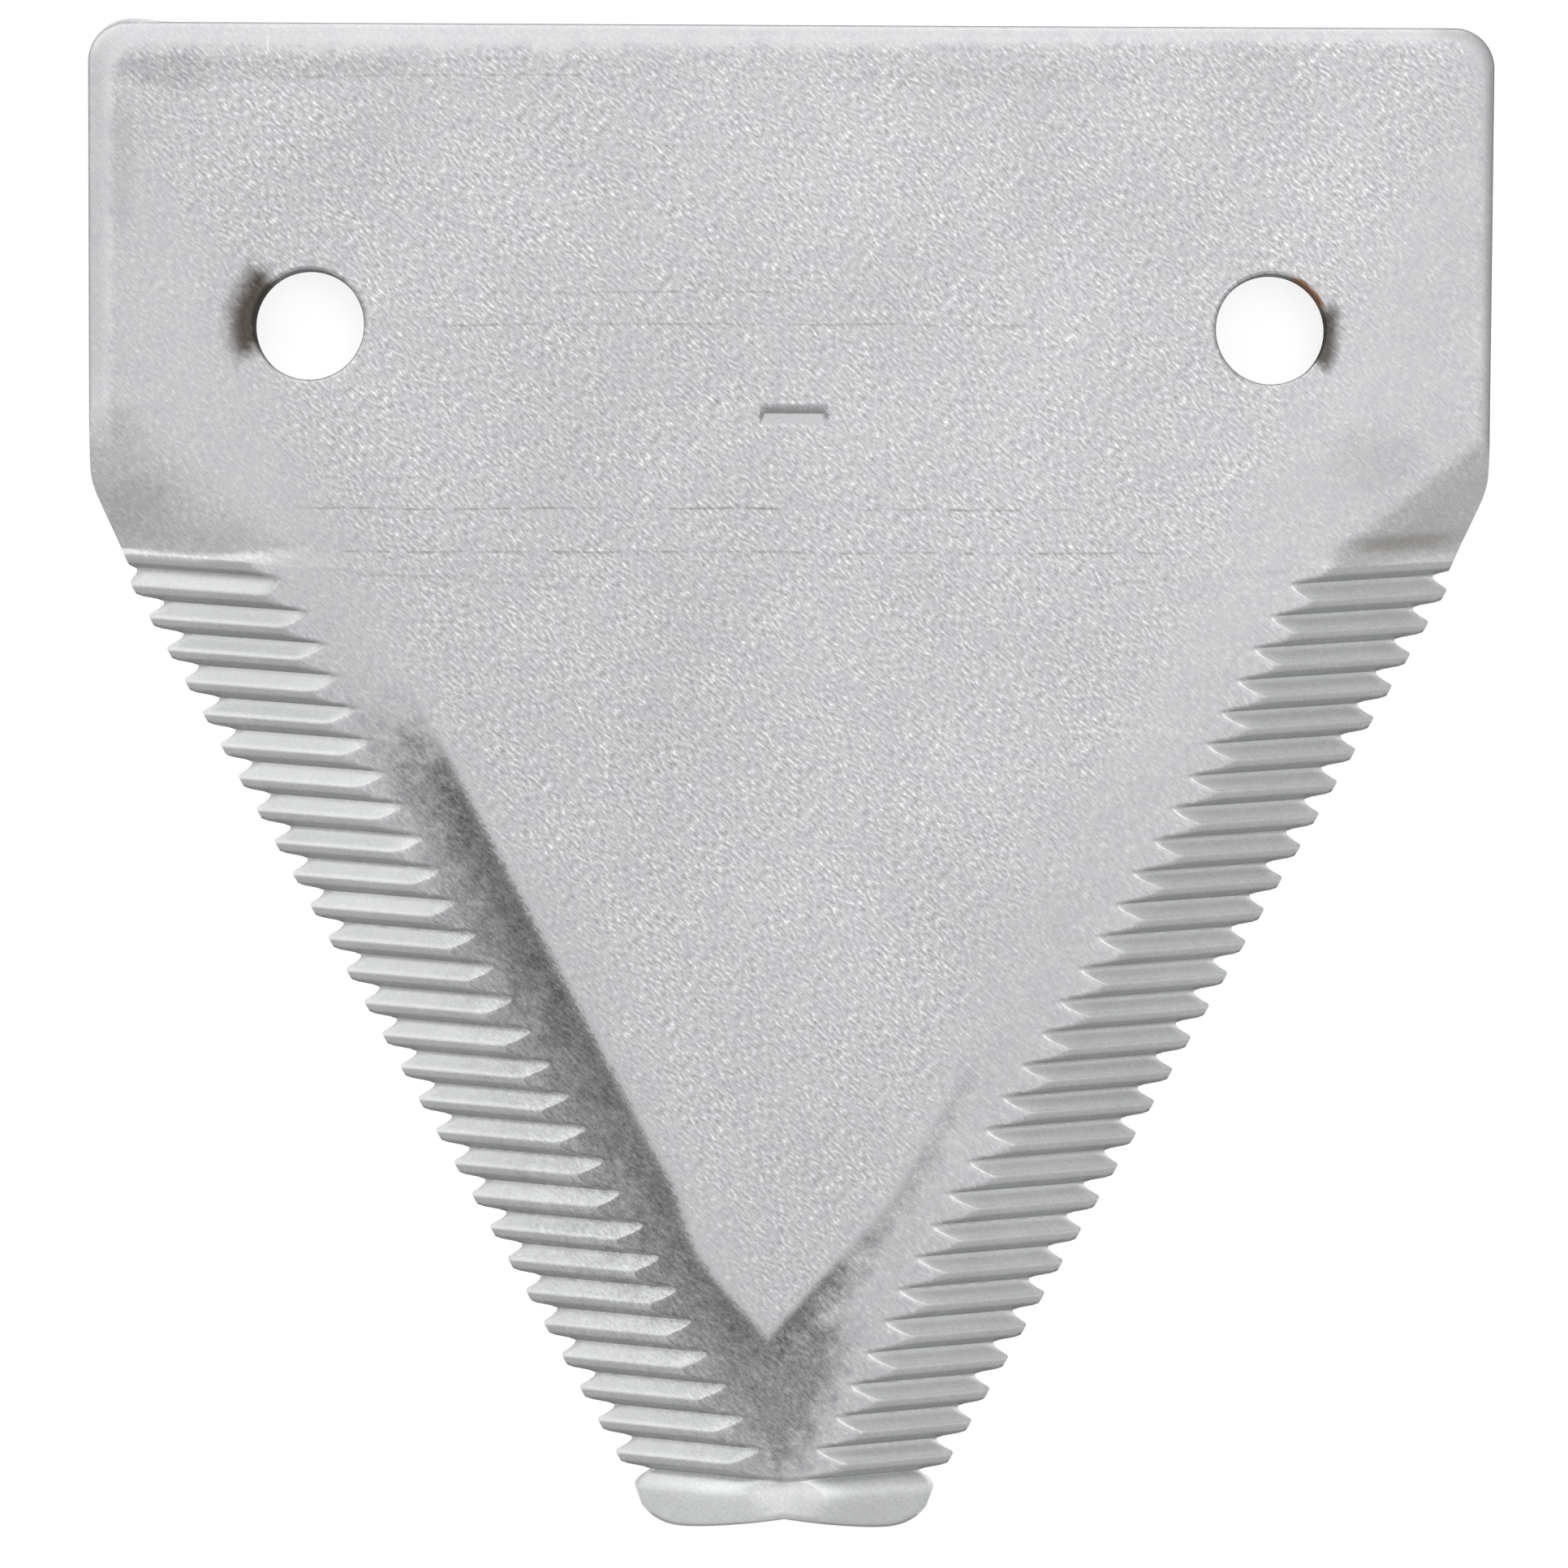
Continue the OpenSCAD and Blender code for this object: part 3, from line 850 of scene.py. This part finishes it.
def tint_shade_mask(spot, sizes):
    """How dark the mottled tint on the relief faces and in the middle of the tip is; it is partly painted
    shade, darkest next to the creases.
    """
    left = spot.x < 0.0
    straight = (spot.y + sizes.crease_reach / MM) * math.tan(sizes.crease_angle)
    turned = (spot.y + sizes.crease_end / MM) * math.tan(sizes.crease_turn)
    shift = smooth(spot.y, SHIFT_START, SHIFT_FULL) * sizes.crease_shift / MM
    past = size_of(spot.x + shift) - soft_low(straight, turned, CREASE_BLEND)
    past = past * math.cos(sizes.crease_angle)
    reach = past + (spot.cloud - 0.5) * 1.8
    edge = smooth(past + (spot.grain - 0.5) * 1.3, -0.2, 0.4)
    along = spot.y + (spot.cloud - 0.5) * 5.0
    left_fading = 1.0 - ramp(reach, 0.9, blend(4.8, 10.0, ramp(spot.y, -28.0, -50.0)))
    left_tint_shade = left_fading * smooth(along, LEFT_TINT_SHADE_START, LEFT_TINT_SHADE_FULL) * left
    thinner = 0.08 * smooth(spot.y, -38.0, -46.0) + 0.1 * smooth(spot.y, -53.5, -57.0)
    left_tint_shade = left_tint_shade * (1.0 - thinner)
    right_fading = 1.0 - smooth(reach, 0.5, blend(1.9, 2.9, smooth(spot.y, -49.0, -53.0)))
    upper_tint_shade = 0.3 * smooth(along, -38.0, -46.0)
    near_tip = smooth(along, RIGHT_TINT_SHADE_START, RIGHT_TINT_SHADE_FULL)
    right_tint_shade = right_fading * blend(upper_tint_shade, 0.92, near_tip)
    spread = 3.4 + low(spot.y + 56.5, 0.0) * 0.46
    tip_tint_shade = 1.0 - smooth(size_of(spot.x + 0.35) - spread + (spot.cloud - 0.5) * 3.4, -1.6, 1.2)
    tip_tint_shade = tip_tint_shade * smooth(spot.y, TIP_TINT_SHADE_START, TIP_TINT_SHADE_FULL) * (0.55 + spot.cloud * 0.26)
    all_tint_shade = high(high(left_tint_shade, right_tint_shade * (1.0 - left)), tip_tint_shade)
    return all_tint_shade * edge * smooth(spot.y, TINT_SHADE_END, TINT_SHADE_FOOT)


def hole_mask(spot, sizes, side, width, start, end):
    """A soft crescent on the outer side of one bolt hole, between two angles."""
    across = spot.x * side - sizes.hole_spacing / 2 / MM
    far = root(across * across + spot.y * spot.y) - sizes.hole_radius / MM
    heading = math_node(spot.tree, "ARCTAN2", spot.y, across)
    middle = (start + end) / 2
    off = size_of(heading - middle) + (spot.cloud - 0.5) * 0.5
    fan = 1.0 - smooth(off, 0.35 * (end - start), 0.62 * (end - start))
    fall = 1.0 - smooth(far + (spot.cloud - 0.5) * 0.6, 0.25 * width, width)
    return fan * fall


def roll_lines(spot):
    """Faint broken lines across the plate, left from rolling."""
    lines = None
    slant = 0.0048
    fade = 3.0
    for height, start, end, depth in ROLL_LINES:
        wave = (spot.broad - 0.5) * 0.5
        near = 1.0 - smooth(size_of(spot.y - height + wave - spot.x * slant), 0.02, 0.11)
        span = smooth(spot.x, start, start + fade) * (1.0 - smooth(spot.x, end - fade, end))
        line = near * span * depth
        lines = line if lines is None else high(lines, line)
    return lines * smooth(spot.cloud, 0.35, 0.6)


def mark_masks(spot, sizes):
    """Painted shade along the steep side and at the ends of the stamped dash, and the smooth ground inside
    the dash.
    """
    half = sizes.mark_length / 2 / MM
    across = size_of(spot.x - sizes.mark_offset / MM) + (spot.fine - 0.5) * 0.25
    above = spot.y + sizes.mark_reach / MM
    inside = 1.0 - smooth(across, half - 0.25, half + 0.05)
    band = smooth(above, -0.03, 0.03) * (1.0 - smooth(above + (spot.fine - 0.5) * 0.5, 0.0, 0.65))
    hooks = 1.0 - smooth(size_of(across - half + 0.1), 0.05, 0.25)
    hooks = hooks * (1.0 - smooth(size_of(above + 0.08), 0.05, 0.3))
    ground = inside * smooth(above, -0.75, -0.45) * (1.0 - smooth(above, 0.3, 0.7))
    return high(inside * band, hooks), ground


def blotches(spot):
    """Soft darker patches near the back edge, where the blasting left more grime."""
    patches = None
    for x, y, width, height, depth in BLOTCHES:
        far_x = (spot.x - x) / width
        far_y = (spot.y - y) / height
        near = 1.0 - smooth(far_x * far_x + far_y * far_y + (spot.cloud - 0.5) * 1.2, 0.0, 1.3)
        patches = near * depth if patches is None else high(patches, near * depth)
    return patches


def edge_masks(spot, sizes):
    """Painted highlight on the heel's rounded rim, painted shade along its right edge, and the nick near
    the back.
    """
    corner = 3.2
    half_heel = (sizes.heel_width + sizes.shoulder_width) / 4 / MM
    from_side = half_heel - size_of(spot.x)
    from_back = sizes.back_reach / MM - spot.y
    inset = root(high(corner - from_side, 0.0) ** 2.0 + high(corner - from_back, 0.0) ** 2.0)
    on_right = smooth(spot.x, -20.0, 30.0)
    rim = high(1.0 - from_side / 0.85 - on_right, 1.0 - from_back / blend(2.2, 1.3, on_right))
    rim = high(rim, inset - blend(1.6, 2.2, on_right))
    rim = smooth(rim + (spot.cloud - 0.5) * 0.7, 0.1, 0.6) * smooth(spot.y, -8.0, -4.0)
    # Painted shade along the rounded right edge and its back corner
    right_edge_shade = 1.0 - smooth(corner - inset, 0.05, 0.95)
    right_edge_shade = right_edge_shade * smooth(spot.x, 33.5, 36.0) * smooth(spot.y, -8.0, -5.0)
    nick = 1.0 - smooth(size_of(spot.x + 28.3 + (spot.fine - 0.5) * 0.2), 0.04, 0.12)
    nick = nick * (1.0 - smooth(size_of(spot.y - 15.0), 0.5, 0.75))
    return rim, right_edge_shade, nick


def dust_mask(spot):
    """Brown dust along the faint groove of the right run-out face."""
    along = spot.y + 11.5 - (spot.x - 33.6) * 0.068
    dust = 1.0 - smooth(size_of(along), 0.15, 0.65)
    return dust * smooth(spot.x, 29.8, 31.8) * (1.0 - smooth(spot.x, 34.5, 36.8))


def steel_material(finish, sizes):
    """Blasted steel with smooth grooves, a dark tint beside them that is partly painted shade, painted
    highlights and shade, and stains round the holes.
    """
    material = bpy.data.materials.new("blasted_steel")
    material.use_nodes = True
    tree = material.node_tree
    shader = tree.nodes["Principled BSDF"]
    place = add_node(tree, "ShaderNodeTexCoord")
    scaled = add_node(tree, "ShaderNodeVectorMath", operation="SCALE")
    tree.links.new(place.outputs["Object"], scaled.inputs[0])
    scaled.inputs["Scale"].default_value = 1.0 / MM
    where = scaled.outputs[0]
    x, y = parts_of(tree, where)[:2]
    spot = SimpleNamespace(tree=tree, x=x, y=y)
    spot.grain = noise(tree, where, 1.0, 1.5, GRAIN_SIZE, GRAIN_TURN)
    spot.fine = noise(tree, where, 9.0, 1.0)
    spot.cloud = noise(tree, where, 0.9, 3.0)
    spot.patch = noise(tree, where, 0.45, 2.0)
    spot.broad = noise(tree, where, 0.11, 3.0)
    marks = {}
    for name in ("groove_gap", "flank", "runout", "lead_crest_highlight"):
        stored = add_node(tree, "ShaderNodeAttribute", attribute_name=name)
        marks[name] = Field(tree, stored.outputs["Fac"])
    gap = marks["groove_gap"]
    bevel = smooth(gap, -0.01, 0.04)
    # Painted highlight: a thin bright line where the groove flanks meet the relief faces, thinner and
    # stronger on the right
    groove_end_highlight = (1.0 - smooth(size_of(gap - 0.01), 0.005, blend(0.07, 0.035, x > 0.0))) * marks["flank"]
    rim, right_edge_shade, nick = edge_masks(spot, sizes)
    shade_marks, ground = mark_masks(spot, sizes)
    patches = blotches(spot)

    tint_shade = tint_shade_mask(spot, sizes)
    relief = smooth(size_of(x) - (y + sizes.crease_reach / MM) * math.tan(sizes.crease_angle), -3.5, 1.5)
    left_hole = hole_mask(spot, sizes, *LEFT_STAIN)
    right_hole = hole_mask(spot, sizes, *RIGHT_STAIN)
    fringe = hole_mask(spot, sizes, *RUST_FRINGE)
    lines = roll_lines(spot)

    base = mixed(tree, smooth(spot.cloud, 0.3, 0.7), tuple(finish.flat), tuple(finish.warm))
    base = mixed(tree, bevel, base, tuple(finish.serrated))
    # Painted light: the run-out faces are mixed towards the paler run-out colour to lift their shade
    runout_painted_light = marks["runout"] * blend(1.3 - marks["runout"] * 0.35, 1.0, x > 0.0)
    base = mixed(tree, runout_painted_light, base, tuple(finish.runout))
    # Painted highlight on the lower part of the tip lobes, stronger on the left
    lobe_highlight = smooth(y, -62.3, -63.1) * blend(*LOBE_HIGHLIGHT_COVER, smooth(x, -2.5, 2.5))
    # Painted highlights on the first left crest and at the groove ends, with the real nick near the back
    highlit_and_nicked = high(marks["lead_crest_highlight"] * LEAD_CREST_HIGHLIGHT_COVER, nick * NICK_COVER)
    highlit_and_nicked = high(groove_end_highlight * blend(*GROOVE_END_HIGHLIGHT_COVER, x > 0.0), highlit_and_nicked)
    base = mixed(tree, high(lobe_highlight, highlit_and_nicked), base, tuple(finish.bright))
    base = mixed(tree, dust_mask(spot) * DUST_COVER, base, tuple(finish.dust))
    # Mottled dark tint over the relief faces and the middle of the tip, partly painted shade, kept off the
    # bevels
    base = mixed(tree, tint_shade * TINT_SHADE_COVER * (1.0 - bevel), base, tuple(finish.tint_shade))
    stain = high(left_hole * STAIN_COVER[0], right_hole * STAIN_COVER[1])
    base = mixed(tree, stain, base, tuple(finish.stain))
    base = mixed(tree, fringe * RUST_COVER, base, tuple(finish.rust))
    base = mixed(tree, lines * LINE_COVER * (1.0 - bevel), base, tuple(finish.tint_shade))
    # Painted shade in the dash and along the right edge, with the darker tone of the dash's smooth ground
    shade_marks = high(high(shade_marks * DASH_SHADE_COVER, ground * MARK_COVER), right_edge_shade * EDGE_SHADE_COVER)
    base = mixed(tree, shade_marks, base, tuple(finish.tint_shade))

    smoother = high(bevel * 0.88, marks["runout"] * blend(0.3, 0.75, x > 0.0))
    smoother = high(smoother, high(high(rim * 0.85, ground * 0.9), relief * 0.6))
    rough_part = 1.0 - high(smoother, smooth(y, -60.5, -62.5) * 0.85)
    flecks = (spot.grain - 0.5) * 1.2 + smooth(spot.grain, 0.58, 0.76) * 0.25
    flecks = flecks * (0.45 + spot.patch * 1.15)
    mottle = (spot.fine - 0.5) * (0.32 + tint_shade * 0.7) + (spot.cloud - 0.5) * tint_shade * 0.6
    mottle = mottle + (spot.grain - 0.5) * tint_shade * 0.9
    sparkle = 1.0 + flecks * rough_part + mottle
    # The rim term is a painted highlight on the heel's rounded rim
    clouding = 1.0 + (spot.broad - 0.5) * 0.22 + (spot.cloud - 0.5) * 0.1 + rim * 0.17 - patches * 0.16
    tone = add_node(tree, "ShaderNodeVectorMath", operation="SCALE")
    tree.links.new(base, tone.inputs[0])
    tree.links.new((sparkle * clouding).socket, tone.inputs["Scale"])
    tree.links.new(tone.outputs[0], shader.inputs["Base Color"])

    roughness = 0.5 - bevel * 0.12 + (spot.fine - 0.5) * 0.12 + tint_shade * 0.1
    tree.links.new(roughness.socket, shader.inputs["Roughness"])
    shader.inputs["Metallic"].default_value = 1.0
    bump = add_node(tree, "ShaderNodeBump")
    bump.inputs["Strength"].default_value = 0.25
    bump.inputs["Distance"].default_value = 0.02 * MM
    tree.links.new((spot.grain * rough_part + spot.fine * 0.3 - lines).socket, bump.inputs["Height"])
    tree.links.new(bump.outputs[0], shader.inputs["Normal"])
    return material


def area_light(name, place, aim, width, power):
    """A square soft light that shines from one place at another."""
    data = bpy.data.lights.new(name, "AREA")
    data.size = width
    data.energy = power
    lamp = bpy.data.objects.new(name, data)
    bpy.context.scene.collection.objects.link(lamp)
    direction = [there - here for here, there in zip(place, aim)]
    flat = math.hypot(direction[0], direction[1])
    lamp.location = place
    lamp.rotation_euler = (math.atan2(flat, -direction[2]), 0.0, math.atan2(-direction[0], direction[1]))
    lamp.visible_camera = False


def floor_material():
    """A pale floor that shows white and keeps the plate's soft shadow."""
    material = bpy.data.materials.new("pale_floor")
    material.use_nodes = True
    tree = material.node_tree
    tree.nodes.clear()
    leave = add_node(tree, "ShaderNodeOutputMaterial")
    paper = add_node(tree, "ShaderNodeBsdfDiffuse")
    paper.inputs["Color"].default_value = (FLOOR_GREY, FLOOR_GREY, FLOOR_GREY, 1.0)
    glow = add_node(tree, "ShaderNodeEmission")
    glow.inputs["Strength"].default_value = FLOOR_GLOW
    path = add_node(tree, "ShaderNodeLightPath")
    tree.links.new(path.outputs["Is Camera Ray"], glow.inputs["Color"])
    both = add_node(tree, "ShaderNodeAddShader")
    tree.links.new(paper.outputs[0], both.inputs[0])
    tree.links.new(glow.outputs[0], both.inputs[1])
    tree.links.new(both.outputs[0], leave.inputs["Surface"])
    return material


class SICKLE_OT_plate(bpy.types.Operator):
    """Build the serrated knife plate with its steel finish"""

    bl_idname = "sickle.plate"
    bl_label = "Build plate"

    def execute(self, context):
        sizes = context.scene.sickle_sizes
        material = steel_material(context.scene.sickle_finish, sizes)
        piece = run_tree(PIECE, plate_tree(sizes, material), sizes)
        if not piece.data.polygons:
            raise RuntimeError("the plate came out empty")
        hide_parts(NODE)
        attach(piece, "root")
        return {"FINISHED"}


class SICKLE_OT_stage(bpy.types.Operator):
    """Set up the floor, the lights and the camera that looks straight down"""

    bl_idname = "sickle.stage"
    bl_label = "Set up studio"

    def execute(self, context):
        scene = context.scene
        stage = scene.sickle_stage
        scene.view_settings.view_transform = "Standard"

        bpy.ops.mesh.primitive_plane_add(size=FLOOR_WIDTH)
        floor = context.object
        floor.name = "studio_floor"
        floor.data.materials.append(floor_material())

        world = bpy.data.worlds.new("studio")
        world.use_nodes = True
        sky = world.node_tree.nodes["Background"]
        sky.inputs["Color"].default_value = (1.0, 1.0, 1.0, 1.0)
        sky.inputs["Strength"].default_value = SKY_STRENGTH
        scene.world = world

        middle = (stage.frame_x, stage.frame_y, 0.0)
        for name, place, width, power in SOFTBOXES:
            area_light(name, place, middle, width, power)

        data = bpy.data.cameras.new("camera")
        camera = bpy.data.objects.new("camera", data)
        scene.collection.objects.link(camera)
        height = scene.sickle_sizes.thickness + stage.camera_height
        camera.location = (stage.frame_x, stage.frame_y, height)
        camera.rotation_euler = (0.0, 0.0, stage.camera_roll)
        data.lens = data.sensor_width * stage.camera_height / stage.frame_width
        data.clip_end = 10.0
        scene.camera = camera
        return {"FINISHED"}


class SICKLE_PT_panel(bpy.types.Panel):
    """Sizes, finish and studio of the knife section"""

    bl_label = "Sickle section"
    bl_idname = "SICKLE_PT_panel"
    bl_space_type = "VIEW_3D"
    bl_region_type = "UI"
    bl_category = "Sickle"

    def draw(self, context):
        layout = self.layout
        scene = context.scene
        for group in (scene.sickle_sizes, scene.sickle_finish, scene.sickle_stage):
            box = layout.box()
            for name in group.bl_rna.properties.keys():
                if name not in {"rna_type", "name"}:
                    box.prop(group, name)
        layout.operator(SICKLE_OT_plate.bl_idname)
        layout.operator(SICKLE_OT_stage.bl_idname)


CLASSES = (PlateSizes, SteelFinish, StageSettings, SICKLE_OT_plate, SICKLE_OT_stage, SICKLE_PT_panel)


def register():
    for cls in CLASSES:
        bpy.utils.register_class(cls)
    bpy.types.Scene.sickle_sizes = bpy.props.PointerProperty(type=PlateSizes)
    bpy.types.Scene.sickle_finish = bpy.props.PointerProperty(type=SteelFinish)
    bpy.types.Scene.sickle_stage = bpy.props.PointerProperty(type=StageSettings)


def unregister():
    del bpy.types.Scene.sickle_stage
    del bpy.types.Scene.sickle_finish
    del bpy.types.Scene.sickle_sizes
    for cls in reversed(CLASSES):
        bpy.utils.unregister_class(cls)


def main():
    register()
    bpy.ops.sickle.plate()
    bpy.ops.sickle.stage()


if __name__ == "__main__":
    main()
